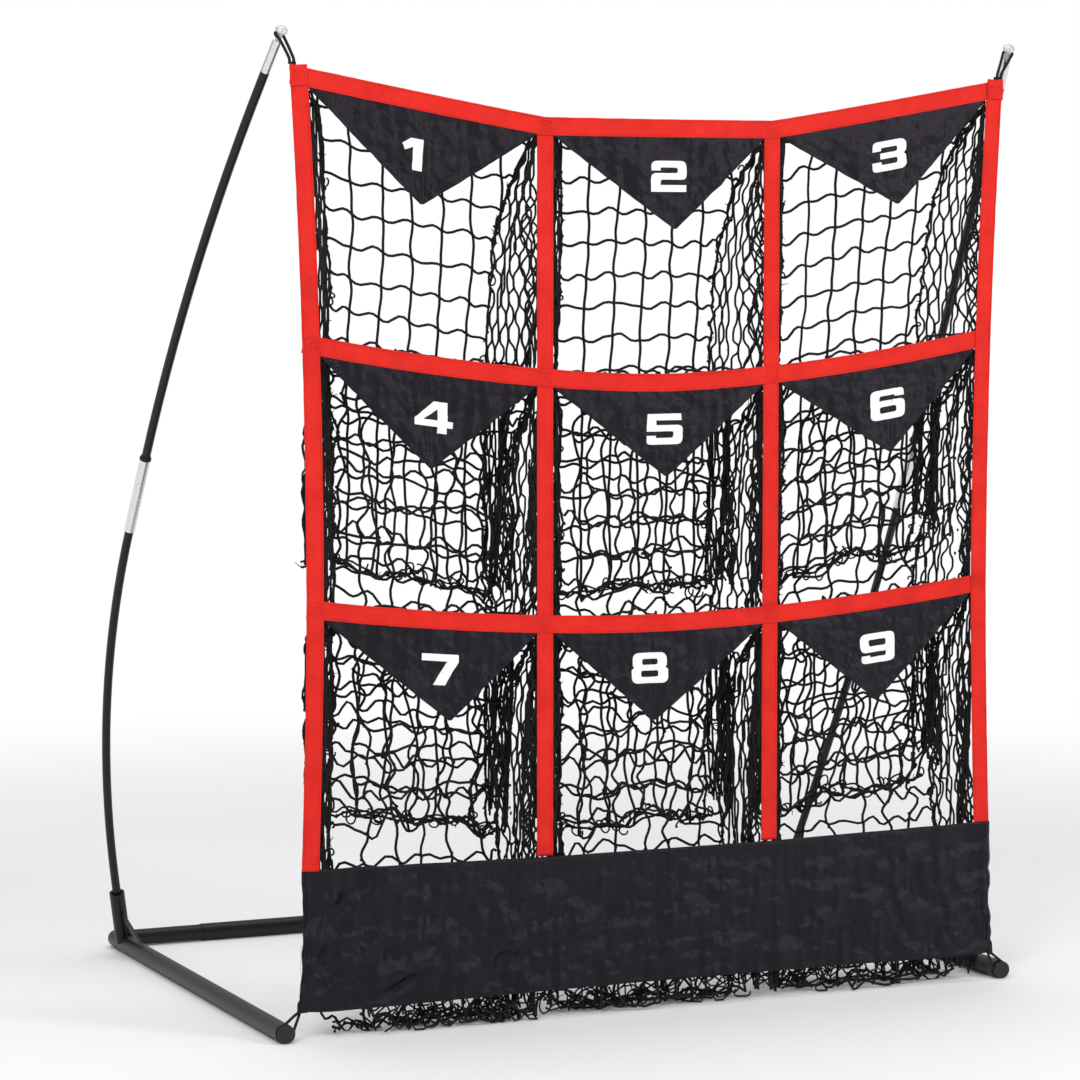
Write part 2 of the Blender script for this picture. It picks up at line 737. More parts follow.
def skirt_grid():
    """A shallow sheet sewn to the tapes at its top and tied at its two lower corners."""
    grid = np.zeros((SKIRT_ROWS, SKIRT_COLS, 3))
    for i in range(SKIRT_ROWS):
        t = i / (SKIRT_ROWS - 1)
        for j in range(SKIRT_COLS):
            u = 2 * j / (SKIRT_COLS - 1) - 1
            z = skirt_top(u * 536) * (1 - t) + skirt_bottom(u) * t
            x = u * x_out(z)
            # pulls that fan from the tied corners, and long low folds near the lower hem
            y = 2.6
            for s, gain in ((-1, 1.0), (1, 0.55)):
                dx, dz = x - s * 541, z - 42
                d = math.hypot(dx, dz)
                a = math.atan2(dz, -s * dx)
                y += (gain * 4.6 * math.sin(a * 19 + 1.3 * s)
                      * math.exp(-((d - 130) / 150) ** 2) * math.sin(math.pi * min(1, d / 420)))
            y += 4.4 * math.sin(math.pi * t) ** 0.7 * fbm(x / 120 + 3, z / 38, 2.2, 4)
            y += (3.0 * math.exp(-((t - 0.78) / 0.12) ** 2)
                  * math.sin(x / 48 + 2 * n1(x / 150, 3)) * (0.5 + 0.5 * n1(x / 90, 8.0)))
            grid[i, j] = (x, y - 0.4 * math.sin(math.pi * t), z)
    return grid


def skirt_pins():
    """The top two rows and a small block at each lower corner."""
    pins = set(range(2 * SKIRT_COLS))
    for i in range(SKIRT_ROWS - 4, SKIRT_ROWS):
        for j in range(4):
            pins |= {i * SKIRT_COLS + j, i * SKIRT_COLS + SKIRT_COLS - 1 - j}
    return sorted(pins)


CLOTH_SETTINGS = dict(
    quality=7, mass=0.15, tension_stiffness=12, compression_stiffness=12, shear_stiffness=6,
    bending_stiffness=0.02, air_damping=1.2, tension_damping=6, compression_damping=6,
    shear_damping=4, bending_damping=0.6)


def raw_coords(mesh):
    co = np.empty(len(mesh.vertices) * 3, np.float32)
    mesh.vertices.foreach_get("co", co)
    return co


def settle(items, frames):
    """Runs the cloth and keeps its sag; items are (object, pins, shrink, limit in mm)."""
    for ob, pins, shrink, _ in items:
        ob.vertex_groups.new(name="pin").add(pins, 1.0, "REPLACE")
        modifier = ob.modifiers.new("Cloth", "CLOTH")
        for key, value in CLOTH_SETTINGS.items():
            setattr(modifier.settings, key, value)
        modifier.settings.vertex_group_mass = "pin"
        modifier.settings.shrink_min = shrink
        modifier.collision_settings.use_collision = False
        modifier.point_cache.frame_start = 1
        modifier.point_cache.frame_end = frames
    for f in range(1, frames + 1):
        scene.frame_set(f)
    graph = bpy.context.evaluated_depsgraph_get()
    for ob, _, _, limit in items:
        moved = raw_coords(ob.evaluated_get(graph).data)
        rest = raw_coords(ob.data)
        shift = (moved - rest).reshape(-1, 3)
        most = np.array([0.4 * limit, limit, 0.4 * limit]) / 1000.0
        shift = most * np.tanh(shift / most)
        ob.modifiers.clear()
        placed = rest.reshape(-1, 3) + shift
        ob.data.vertices.foreach_set("co", placed.astype(np.float32).ravel())
        ob.data.update()
    scene.frame_set(1)


flag_sheets = {k: sheet_object(f"flag_cloth_{k}", flag_grid(k), [NYLON, THREAD_BLACK, WHITE])
               for k in range(1, 10)}
skirt_sheet = sheet_object("skirt_cloth", skirt_grid(), [NYLON, THREAD_BLACK])
flag_pins = list(range(4 * FLAG_COLS))
settle([(ob, flag_pins, -0.016, 5.0) for ob in flag_sheets.values()]
       + [(skirt_sheet, skirt_pins(), -0.012, 6.5)], frames=34)


# ------------------------------------------------------------------ finished cloth
def take_grid(ob, rows, cols):
    """The sheet's points as a grid in millimetres; the sheet is removed."""
    points = raw_coords(ob.data).reshape(-1, 3).astype(float) * 1000.0
    points[:, 1] -= ARM_FRONT
    bpy.data.objects.remove(ob)
    return points.reshape(rows, cols, 3)


def add_creases(grid, depth, size_x, size_z, seed, top, bottom):
    """Sharp creases of crisp nylon, left out along the sewn edge; changes grid in place."""
    rows = len(grid)
    for i in range(rows):
        t = i / (rows - 1)
        w = smooth01((t - top) / 0.14) * (1 - 0.8 * smooth01((t - bottom + 0.12) / 0.12))
        for q in grid[i]:
            c = abs(fbm(q[0] / size_x + q[2] / (2.3 * size_x),
                        q[2] / size_z - q[0] / (3.1 * size_z), seed, 3))
            q[1] += depth * w * (0.22 - c)


def hem_step(distance, width, rise, extra):
    """Extra thickness of a hem of this width, at a distance from its edge."""
    return extra * min(1, (width - distance) / rise) if distance < width else 0.0


def thick_sheet(grid, thickness, hem):
    """Closed cloth from a grid; hem thickens the front. Returns the part and its front grid."""
    rows, cols = grid.shape[:2]
    n = np.cross(np.gradient(grid, axis=0), np.gradient(grid, axis=1))
    size = np.linalg.norm(n, axis=2)
    n = n / np.maximum(size, 1e-6)[:, :, None]
    n[size < 1e-4] = (0, -1, 0)
    front = grid + n * (thickness / 2 + hem)[:, :, None]
    back = grid - n * (thickness / 2)
    faces = two_face_grid(rows, cols)
    under = rows * cols
    rim = (list(range(cols)) + [i * cols + cols - 1 for i in range(1, rows)]
           + [(rows - 1) * cols + j for j in range(cols - 2, -1, -1)]
           + [i * cols for i in range(rows - 2, 0, -1)])
    for a, b in zip(rim, rim[1:] + rim[:1]):
        faces.append((a, b, b + under, a + under))
    part = Build()
    part.add(np.vstack((front.reshape(-1, 3), back.reshape(-1, 3))), faces)
    return part, front


def surface_y(front):
    """A function that gives the y of the cloth's front at (x, z)."""
    rows, cols = front.shape[:2]
    tree = BVHTree.FromPolygons(
        [Vector(p) for p in front.reshape(-1, 3)],
        [(a, a + 1, a + cols + 1, a + cols)
         for i in range(rows - 1) for a in range(i * cols, i * cols + cols - 1)])

    def at(x, z):
        hit = tree.ray_cast(Vector((x, -200, z)), Vector((0, 1, 0)))
        return hit[0].y if hit[0] is not None else 4.0
    return at


def on_cloth(at, points, lift):
    """(x, z) points laid on the cloth, lifted to the front."""
    return [(x, at(x, z) - lift, z) for x, z in points]


# ------------------------------------------------------------------ numbers
GLYPH_SIZE = (50.0, 43.0)
GLYPH_CORNER = 0.4      # corner radius where the table gives none
GLYPH_STRETCH = 1.13    # widening across
# closed outlines, outer then holes: (x, z) from the lower left and, for some, a corner radius
GLYPH = {
    1: [[(17, 43), (33, 43), (33, 0), (20.5, 0), (20.5, 31.5), (9.5, 25.5), (6, 34)]],
    2: [[(1, 27), (1, 43, 9), (49, 43, 9), (49, 17, 7), (13.5, 17, 3), (13.5, 9.5), (49, 9.5),
         (49, 0), (0, 0), (0, 26, 8), (36.5, 26, 3), (36.5, 33.8, 3), (13.5, 33.8, 3),
         (13.5, 29.5), (1, 29.5)]],
    3: [[(1, 29.5), (1, 43, 9), (49, 43, 9), (49, 24.5, 4), (46, 22, 1), (49, 19.5, 4),
         (49, 0, 9), (0, 0, 9), (0, 13.5), (13, 13.5), (13, 9.2, 3), (36.5, 9.2, 3),
         (36.5, 17.6, 3), (12, 17.6), (12, 26), (36.5, 26, 3), (36.5, 33.8, 3),
         (13, 33.8, 3), (13, 29.5)]],
    4: [[(24, 43), (42, 43), (42, 17.5), (50, 17.5), (50, 8.5), (42, 8.5), (42, 0),
         (29.5, 0), (29.5, 8.5), (0, 8.5), (0, 18.5)],
        [(29.5, 17.5), (29.5, 33), (11, 17.5)]],
    5: [[(2, 43), (48, 43), (48, 33.8), (14, 33.8), (14, 27.2), (50, 27.2, 9), (50, 0, 9),
         (0, 0, 9), (0, 12.6), (13, 12.6), (13, 9.2, 3), (37, 9.2, 3), (37, 18.4, 3),
         (1, 18.4)]],
    6: [[(0, 43, 9), (48, 43, 9), (48, 31.5), (36, 31.5), (36, 34.2, 2), (12.8, 34.2, 3),
         (12.8, 27.2), (50, 27.2, 9), (50, 0, 9), (0, 0, 9)],
        [(12.8, 9.2, 3), (37, 9.2, 3), (37, 18.6, 3), (12.8, 18.6, 3)]],
    7: [[(1, 43), (49, 43), (49, 33), (32, 0), (16, 0), (34, 33.2), (1, 33.2)]],
    8: [[(2, 43, 9), (48, 43, 9), (48, 24.6, 4), (46, 22, 1), (50, 19.5, 5), (50, 0, 9),
         (0, 0, 9), (0, 19.5, 5), (4, 22, 1), (2, 24.6, 4)],
        [(14.2, 34.4, 3), (14.2, 26, 3), (35.8, 26, 3), (35.8, 34.4, 3)],
        [(13, 17.8, 3), (13, 8.8, 3), (37, 8.8, 3), (37, 17.8, 3)]],
    9: [[(50, 0, 9), (2, 0, 9), (2, 11.5), (14, 11.5), (14, 8.8, 2), (37.2, 8.8, 3),
         (37.2, 15.8), (0, 15.8, 9), (0, 43, 9), (50, 43, 9)],
        [(37.2, 33.8, 3), (13, 33.8, 3), (13, 24.4, 3), (37.2, 24.4, 3)]],
}
# centre (x, z) of each number
NUMBER_AT = {
    1: (-366, 1200), 2: (13, 1174), 3: (363, 1207),
    4: (-341, 845), 5: (7, 822), 6: (363, 851),
    7: (-333, 499), 8: (-15, 487), 9: (349, 500),
}


def rounded(outline, segments=5):
    """The outline with its corners rounded."""
    out = []
    n = len(outline)
    for i in range(n):
        before, corner, after = [np.array(outline[(i + d) % n][:2], float) for d in (-1, 0, 1)]
        radius = outline[i][2] if len(outline[i]) > 2 else GLYPH_CORNER
        a, b = before - corner, after - corner
        len_a, len_b = np.linalg.norm(a), np.linalg.norm(b)
        a, b = a / len_a, b / len_b
        angle = math.acos(max(-1, min(1, a.dot(b))))
        # an outline that doubles back has no angle to fit the radius in
        cut = radius / math.tan(angle / 2) if angle > 1e-3 else radius
        cut = min(cut, len_a * 0.49, len_b * 0.49)
        start, end = corner + a * cut, corner + b * cut
        for step in range(segments + 1):
            t = step / segments
            out.append(tuple((1 - t) ** 2 * start + 2 * t * (1 - t) * corner + t * t * end))
    return out


def filled_glyph(k):
    """The number's outlines as one flat filled mesh."""
    curve = bpy.data.curves.new("glyph", "CURVE")
    curve.dimensions = "2D"
    curve.fill_mode = "BOTH"
    for outline in GLYPH[k]:
        points = rounded(outline)
        spline = curve.splines.new("POLY")
        spline.points.add(len(points) - 1)
        for point, (x, z) in zip(spline.points, points):
            point.co = (x, z, 0, 1)
        spline.use_cyclic_u = True
    ob = bpy.data.objects.new("glyph", curve)
    scene.collection.objects.link(ob)
    bpy.context.view_layer.update()
    graph = bpy.context.evaluated_depsgraph_get()
    mesh = bpy.data.meshes.new_from_object(ob.evaluated_get(graph))
    bpy.data.objects.remove(ob)
    return mesh


def glyph_mesh(k):
    """The number cut fine enough to follow the cloth: points (mm), faces and rim edges."""
    bm = bmesh.new()
    bm.from_mesh(filled_glyph(k))
    bmesh.ops.remove_doubles(bm, verts=bm.verts, dist=0.02)
    for axis, strips in ((0, 15), (1, 13)):
        for i in range(1, strips):
            place = [0, 0, 0]
            place[axis] = i * GLYPH_SIZE[axis] / strips + 0.013
            direction = [0, 0, 0]
            direction[axis] = 1
            bmesh.ops.bisect_plane(bm, geom=bm.verts[:] + bm.edges[:] + bm.faces[:],
                                   plane_co=place, plane_no=direction, dist=1e-4)
    bmesh.ops.dissolve_degenerate(bm, dist=0.01, edges=bm.edges[:])
    bmesh.ops.triangulate(bm, faces=bm.faces[:])
    bm.verts.index_update()
    verts = np.array([v.co[:] for v in bm.verts])
    faces = [tuple(v.index for v in face.verts) for face in bm.faces]
    bm.free()
    edges = dict.fromkeys(e for face in faces for e in zip(face, face[1:] + face[:1]))
    return verts, faces, [(a, b) for a, b in edges if (b, a) not in edges]


def add_number(part, k, at):
    """The number, laid on the flag and tilted with the tape above it."""
    flat, faces, rim = glyph_mesh(k)
    row = (k - 1) // 3
    cx, cz = NUMBER_AT[k]
    tilt = math.atan((z_row(row, cx + 40) - z_row(row, cx - 40)) / 80)
    across = (flat[:, 0] - GLYPH_SIZE[0] / 2) * GLYPH_STRETCH
    up = flat[:, 1] - GLYPH_SIZE[1] / 2
    x = cx + across * math.cos(tilt) - up * math.sin(tilt) * 0.3
    z = cz + across * math.sin(tilt) + up * math.cos(tilt)
    y = np.array([at(px, pz) for px, pz in zip(x, z)])
    n = len(x)
    verts = np.vstack((np.column_stack((x, y - 0.6, z)), np.column_stack((x, y - 0.12, z))))
    a, b, c = [verts[i] for i in faces[0]]
    if np.cross(b - a, c - a)[1] > 0:
        faces = [tuple(reversed(face)) for face in faces]
        rim = [(b, a) for a, b in rim]
    part.add(verts, faces + [tuple(n + i for i in reversed(face)) for face in faces]
             + [(a, n + a, n + b, b) for a, b in rim], PRINT)


# ------------------------------------------------------------------ flags
def flag(k):
    grid = take_grid(flag_sheets[k], FLAG_ROWS, FLAG_COLS)
    # a narrow hem, folded double, along the two slanting edges
    hem = np.zeros((FLAG_ROWS, FLAG_COLS))
    for i in range(FLAG_ROWS):
        if i > FLAG_ROWS * FLAG_TAB:
            width = np.linalg.norm(grid[i, -1] - grid[i, 0])
            for j in range(FLAG_COLS):
                d = min(j, FLAG_COLS - 1 - j) / (FLAG_COLS - 1) * width * 0.55
                hem[i, j] = hem_step(d, width=6.0, rise=1.2, extra=0.34)
    add_creases(grid, depth=4.2, size_x=44, size_z=30, seed=k * 7.7, top=0.1, bottom=1.0)
    part, front = thick_sheet(grid, 0.55, hem)
    at = surface_y(front)
    for right in (False, True):
        line = []
        for i in range(int(FLAG_ROWS * 0.14), FLAG_ROWS - 2):
            a, b = grid[i, 0], grid[i, -1]
            share = min(0.48, 7.6 / max(np.linalg.norm(b - a), 1))
            p = a + (b - a) * (1 - share if right else share)
            line.append((p[0], p[2]))
        part.stitches(on_cloth(at, line, lift=0.05), **FINE_THREAD)
    add_number(part, k, at)
    ob = part.object(f"flag_cloth_{k}", [NYLON, THREAD_BLACK, WHITE])
    for face in ob.data.polygons:
        if face.material_index == PRINT:
            face.use_smooth = False
    # the cloth bends across the hinge line, from just above it to just below
    joint = next(j for j in frame["joints"] if j["child"] == f"flag_{k}")
    axis = Vector(joint["axis"]).normalized()
    down = Vector((axis.z, 0, -axis.x))
    if down.z > 0:
        down = -down
    hinge = Vector(joint["pos_m"])
    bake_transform(ob)
    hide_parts(f"flag_{k}")


for k in range(1, 10):
    flag(k)


# ------------------------------------------------------------------ skirt
def skirt_hem(grid):
    hem = np.zeros((SKIRT_ROWS, SKIRT_COLS))
    for i in range(SKIRT_ROWS):
        for j in range(SKIRT_COLS):
            x, z = grid[i, j, 0], grid[i, j, 2]
            hem[i, j] = max(
                hem_step(grid[0, j, 2] - z, width=12, rise=2, extra=0.5),
                hem_step(z - grid[-1, j, 2], width=9, rise=2, extra=0.4),
                hem_step(min(x - grid[i, 0, 0], grid[i, -1, 0] - x), width=15, rise=2.5,
                         extra=0.55))
    return hem


def skirt():
    grid = take_grid(skirt_sheet, SKIRT_ROWS, SKIRT_COLS)
    hem = skirt_hem(grid)
    add_creases(grid, depth=9.0, size_x=95, size_z=42, seed=91.3, top=0.05, bottom=0.96)
    part, front = thick_sheet(grid, 0.7, hem)
    at = surface_y(front)
    rows = [[(x, skirt_top(x) - d) for x in np.linspace(-527, 527, 260)] for d in (3.2, 10.4)]
    rows.append([(x, skirt_bottom(x / 544) + 7.6) for x in np.linspace(-534, 534, 260)])
    for line in rows:
        part.stitches(on_cloth(at, line, lift=0.02), **SKIRT_THREAD)
    for s, _ in SIDES:
        for d in (3.0, 13.2):
            line = [(s * (x_out(z) - d), z) for z in np.linspace(46, 231, 80)]
            part.stitches(on_cloth(at, line, lift=0.02), **SKIRT_THREAD)
        # cord sewn into the side hem, standing a little proud
        line = [(s * (x_out(z) - 6.4), z) for z in np.linspace(40.5, 233, 60)]
        part.tube(on_cloth(at, line, lift=-0.5), 1.5, 8)
    # two faint upright seams
    for x in (-176, 183):
        part.stitches([(x + 1.2 * n1(z / 30, x), at(x, z) - 0.02, z)
                       for z in np.linspace(50, 226, 60)], **FINE_THREAD)
    piece(part, "skirt_cloth", [NYLON, THREAD_BLACK], "skirt")


skirt()

# ------------------------------------------------------------------ net pockets
MESH = 44.5             # pitch of the knots
CORD_R = 2.0
TAPE_BACK = 9.0         # nearest the net comes to the tapes
GATHER = 0.44           # share of the depth by which the left of the net draws in
# height of a pocket's lower end by row, near the middle and near the outer edge
END_MID = (590, 252, 6)
END_OUT = (642, 298, 6)
# by row: distance below the tape, and depth of the pocket's back there
BACK_DEPTH = (
    ((0, 18, 76, 160, 330, 700), (9, 36, 84, 105, 127, 130)),
    ((0, 18, 76, 160, 210, 335, 700), (9, 36, 80, 85, 88, 126, 130)),
    ((0, 18, 76, 160, 250, 330, 440, 520, 560), (9, 36, 80, 86, 86, 82, 66, 58, 50)),
)
TANGLE_Y = (36.0, 58.0, 100.0)      # middle of the tangle on the ground, by column


class Pocket(Build):
    """The net behind cell k; cells count from the top left. Tuples run by row."""

    def __init__(self, k):
        super().__init__()
        self.k = k
        self.row, self.col = row, col = divmod(k - 1, 3)
        self.jitter = (1.6, 6.0, 7.0)[row]
        self.sway = (4.6, 9.0, 10.0)[row]
        self.bow = (1.6, 5.5, 6.5)[row]
        self.heave = (1.5, 4.0, 5.0)[row]
        self.wild = (0.06, 0.45, 0.6)[row]
        level = z_row(row, 520) - 60
        self.left, self.right = self.edge(-1, level), self.edge(1, level)
        self.columns = [x for x in (self.left + 52 + MESH * j for j in range(9))
                        if x < self.right + 40]
        self.middle = (self.left + self.right) / 2
        length = self.top(self.middle) - self.end(self.middle)
        self.rows = int(round((length - 14) / MESH))
        self.back_knots()
        self.seams = {side: self.seam_knots(side) for side in (-1, 1)}
        self.back_panel()
        self.tape_loops()
        self.tail_front()
        for side in (-1, 1):
            self.gusset(side)
            self.seam(side)
        self.gathered_edge()
        if row == 2:
            self.ground_tangle()
        for verts in self.verts:
            np.maximum(verts[:, 1], 7.0, out=verts[:, 1])
            np.maximum(verts[:, 2], 0.2, out=verts[:, 2])

    # the pocket's surfaces
    def edge(self, side, z):
        return cell_side(self.col, side, z, gap=1)

    def top(self, x):
        return z_row(self.row, x) - HALF + 2

    def end(self, x):
        t = np.clip((abs(x) - 190) / 320, 0, 1) if self.col != 1 else 0
        z = END_MID[self.row] * (1 - t) + END_OUT[self.row] * t
        if self.row < 2:
            z += 24 * n1(x / 60, self.k * 5.1) + 12 * n1(x / 17, self.k)
        return z

    def depth(self, below):
        return np.interp(below, *BACK_DEPTH[self.row])

    def seam_at(self, side, x, z, lowest):
        """Where gusset and back meet: x is the cell's side at height z."""
        below = self.top(x) - z
        y = self.depth(below)
        if side < 0:
            inset = GATHER * min(y, 118.0) + 6 * smooth01(below / 40.0)
        else:
            inset = 25 * smooth01(below / 190.0) - 4 * (1 - smooth01(below / 60.0))
        return np.array([x - side * inset, max(lowest, y), z])

    def row_z(self, x, i):
        top = self.top(x)
        return top - (top - self.end(x)) * (16 + MESH * i) / (16 + MESH * self.rows)

    def ends_high(self, side):
        """The bottom left pocket stops short of the ground on its left."""
        return self.row == 2 and self.col == 0 and side < 0

    # cords
    def strand(self, knots, sway, bow, heave, level=False, wild=0.0):
        """A cord through knots. Level cords dip after a knot and rise before the next one."""
        path = [knots[0]]
        for a, b in zip(knots[:-1], knots[1:]):
            swing = sway * (1 + 0.3 * normal())
            if wild and rng.random() < wild:
                swing = -swing * rng.uniform(0.3, 1.2)
            arch = bow * normal()
            back = heave * normal()
            lift = 0.35 * sway * normal()
            short = min(1, np.linalg.norm(b - a) / 30)
            swing *= short
            arch *= short
            for t in np.linspace(0, 1, 7)[1:]:
                wave, hump = math.sin(2 * math.pi * t), math.sin(math.pi * t)
                if level:
                    shift = (0.25 * arch * wave, back * hump, -swing * wave + lift * hump)
                else:
                    shift = (swing * 0.35 * wave + arch * hump, back * hump, 0.2 * arch * wave)
                path.append(a + (b - a) * t + np.array(shift))
        # one pass softens the corners at the knots
        self.tube(smooth(np.array(path), 1), CORD_R)

    def hair(self, point, count, length):
        """Loose fibres standing off a cord."""
        radius = 0.7
        for _ in range(count):
            d = unit(normal(3) * (1, 0.7, 1))
            bend = normal(3) * 0.45
            path = [point + d * t * length * rng.uniform(0.7, 1.2)
                    + bend * (t * length) ** 2 / length * 0.6 for t in (0, 0.35, 0.7, 1)]
            self.tube(path, [radius, radius, radius * 0.8, radius * 0.5], 5)

    def curl(self, point, size):
        """A slack loop of cord."""
        start, turn = rng.uniform(0, 6.28), rng.uniform(3.4, 6.0)
        u = unit(normal(3))
        w = unit(np.cross(u, (0, 1, 0.2)))
        path = np.array([
            point + size * (u * (math.cos(start + turn * t) - math.cos(start))
                            + w * 0.7 * (math.sin(start + turn * t) - math.sin(start)))
            for t in np.linspace(0, 1, 11)])
        path[:, 1] = np.maximum(path[:, 1], 8.6)
        path[:, 2] = np.maximum(path[:, 2], 1.8)
        self.tube(path, 1.3)

    # back panel
    def back_knots(self):
        row, k = self.row, self.k
        slack = normal(self.rows + 2) * (2.0, 4.0, 5.0)[row]
        self.knots = {}
        for j, x in enumerate(self.columns):
            for i in range(self.rows + 1):
                even_z = self.row_z(x, i)
                even_y = self.depth(self.top(x) - even_z)
                px = (x - GATHER * max(0.0, 105 - even_y) + self.jitter * 0.6 * normal()
                      + (2.5 if row == 0 else 6) * n1(i * 0.5, j * 0.3, k * 2.2))
                z = even_z + self.jitter * 0.8 * normal() + 0.4 * slack[i]
                y = (self.depth(self.top(x) - z) + self.jitter * 0.7 * normal()
                     + (6 if row == 0 else 10) * n1(x / 140, z / 160, k))
                if row == 2:
                    y += 34 * smooth01((190 - z) / 190) * n1(x / 110, k + 4.0)
                self.knots[j, i] = np.array([px, max(y, TAPE_BACK),
                                             max(z, 2.0 + 5 * rng.random())])

    def seam_knots(self, side):
        knots = []
        for i in range(self.rows + 1):
            z = self.row_z(self.edge(side, 700), i)
            p = self.seam_at(side, self.edge(side, z), z, TAPE_BACK)
            p[2] = max(48.0 if self.ends_high(side) else 3.0, z)
            spread = 0.6 if self.row == 0 else 1.4
            knots.append(p + np.array([2.2, 2, 2]) * normal(3) * spread)
        return knots

    def back_panel(self):
        left, right = self.seams[-1], self.seams[1]
        for j, x in enumerate(self.columns):
            # an upright cord runs while it lies between the two seams
            top_x = x - GATHER * (105 - 9) + rng.normal(0, 1.5)
            path = []
            if self.left - 3 < top_x < self.right + 3:
                path = [np.array([top_x, 8.8, self.top(top_x) + 3])]
            for i in range(self.rows + 1):
                p = self.knots[j, i]
                past_left = p[0] < left[i][0] - 1
                if past_left or p[0] > right[i][0] + 1:
                    if path:
                        path.append((left if past_left else right)[i])
                        break
                    continue
                if not path:
                    path.append((left if p[0] < self.middle else right)[max(i - 1, 0)])
                path.append(p)
            if len(path) > 1:
                self.strand(path, self.sway * (0.45 if self.row == 0 else 0.95), self.bow,
                            self.heave * 0.6)
        for i in range(self.rows + 1):
            inside = [self.knots[j, i] for j in range(len(self.columns))
                      if left[i][0] + 5 < self.knots[j, i][0] < right[i][0] - 5]
            self.strand([left[i]] + inside + [right[i]], self.sway, self.bow, self.heave,
                        level=True, wild=self.wild)
            for p in inside:
                self.knot(p, 2.15, squash=(1.15, 0.9, 1.15))

    def tape_loops(self):
        """Short cords down the back of the cross tape."""
        for x in np.arange(self.left - 6, self.right + 6, MESH / 2):
            z = z_row(self.row, x)
            self.tube([(x, 7.9, z - 4), (x + 1, 8.6, z - 9), (x, 9.6, z - 15)], CORD_R)

    # front of the tail, rising to the next tape or the back of the skirt
    def tail_point(self, x, q):
        low = self.row == 2
        back = 16.0 if low else 97.0
        floor = z_floor(self.row, x)
        bend, top = floor - (70 if low else 96), floor + (-14 if low else 0)
        if q < 0.58:
            t = q / 0.58
            end = self.end(x)
            y = back + (14 if low else 12) * (1 - t) * n1(x / 50, self.k + 9.0)
            return np.array([x, y, end + (bend - end) * t])
        t = (q - 0.58) / 0.42
        return np.array([x, back + (9.4 - back) * t ** 1.2, bend + (top - bend) * t])

    def tail_front(self):
        rows = int(round((270 if self.row < 2 else 215) / 38.0))
        knots = []
        for x in [x + 21 + rng.normal(0, 3) for x in self.columns[:-1]]:
            column = []
            for i in range(rows + 1):
                scatter = 0.25 if i == rows else 1
                p = self.tail_point(x, i / rows) + normal(3) * (5.5, 4.0, 6.0) * scatter
                p[1] = max(p[1], 9.2)
                p[2] = max(p[2], 2.0 + 6 * rng.random())
                column.append(p)
            knots.append(column)
        for column in knots:
            self.strand(column, sway=4.5, bow=5.5, heave=4.0)
        for across in zip(*knots):
            self.strand(across, sway=7.0, bow=5.0, heave=5.0, level=True, wild=0.5)
            for p in across:
                self.knot(p, 2.1)

    # side gussets
    def gusset_point(self, side, g, z):
        """g runs from 0 at the tape to 1 at the seam."""
        x = self.edge(side, z)
        seam = self.seam_at(side, x, z, 0.0)
        below = 0.0
        if self.row < 2:
            below = smooth01((z_floor(self.row, x) - 10 - z) / 60.0)
        front = np.array([x + side * 5 * (1 - below) - side * 6 * below,
                          9.4 + (88 - 9.4) * below, z])
        pleat = math.sin(g * 9.4 + z / 70.0 + self.k) * (1.5 + 4.5 * (1 - g))
        return front + (seam - front) * g + np.array(
            [-side * pleat * 0.8, 2.5 * math.sin(g * 13 + z / 41.0), 0])

    def gusset(self, side):
        """Netting hung on the diagonal and gathered, so it falls in chains of long loops."""
        row = self.row
        count = (12, 13, 14)[row]
        pitch = (25.0, 24.0, 22.0)[row]
        top = self.top(self.edge(side, 900 if row == 0 else 700)) - 4
        bottom = 52.0 if self.ends_high(side) else self.end(self.edge(side, 600)) + 6
        links = int((top - bottom) / pitch)
        uneven = rng.uniform(-0.03, 0.03, count + 2)
        for i in range(count):
            chain = []
            for j in range(links + 1):
                here = i + (i + j) % 2
                z = top - j * pitch
                g = np.clip((here / count) ** 1.12 + uneven[here] * 0.6, 0, 1)
                p = self.gusset_point(side, g, z)
                beside = here + (1 if here == i else -1)
                toward = self.gusset_point(
                    side, np.clip((beside / count) ** 1.12, 0, 1), z) - p
                gap = np.linalg.norm(toward)
                if gap > 1e-6:
                    p = p + toward / gap * min(1.25, gap * 0.3)
                p = p + np.array([1.0, 1.6, 3.6]) * normal(3) * (1.0 if row == 0 else 1.7)
                p[1] = max(p[1], TAPE_BACK)
                p[2] = max(p[2], 2.2 + 7 * rng.random())
                chain.append(p)
            # straight beside each knot, crossing over between knots
            path = []
            for a, b in zip(chain[:-1], chain[1:]):
                for t in (0, 0.2, 0.4, 0.6, 0.8):
                    w = smooth01((t - 0.22) / 0.56)
                    path.append(a + (b - a) * np.array([w, w, t]))
            path.append(chain[-1])
            if rng.random() < (0.95 if row else 0.9):
                self.tube(path, 1.62)
            if i % 2 == 0:
                for p in chain[1:-1]:
                    if rng.random() < 0.8:
                        self.knot(p, 2.0, squash=(0.9, 0.9, 1.35))
        self.slack_cords(side, top, bottom)

    def slack_cords(self, side, top, bottom):
        """Slack cords bunched straight behind the tape."""
        for _ in range((5, 7, 8)[self.row]):
            middle = rng.uniform(0.0, 0.3)
            heights = np.arange(top - rng.uniform(20, 110), bottom, -9.0)
            path = []
            phase = rng.uniform(0, 6)
            for z in heights:
                g = np.clip(middle + 0.07 * math.sin(z / 11.0 + phase)
                            + 0.05 * math.sin(z / 29.0 + 2 * phase), 0, 1)
                p = self.gusset_point(side, g, z) + np.array(
                    [2.6 * math.sin(z / 9.5 + phase), 2.0 * math.cos(z / 12.0 + phase), 0])
                p[1] = max(p[1], TAPE_BACK)
                p[2] = max(p[2], 2.4)
                path.append(p)
            if len(path) > 3:
                self.tube(path, 1.6)

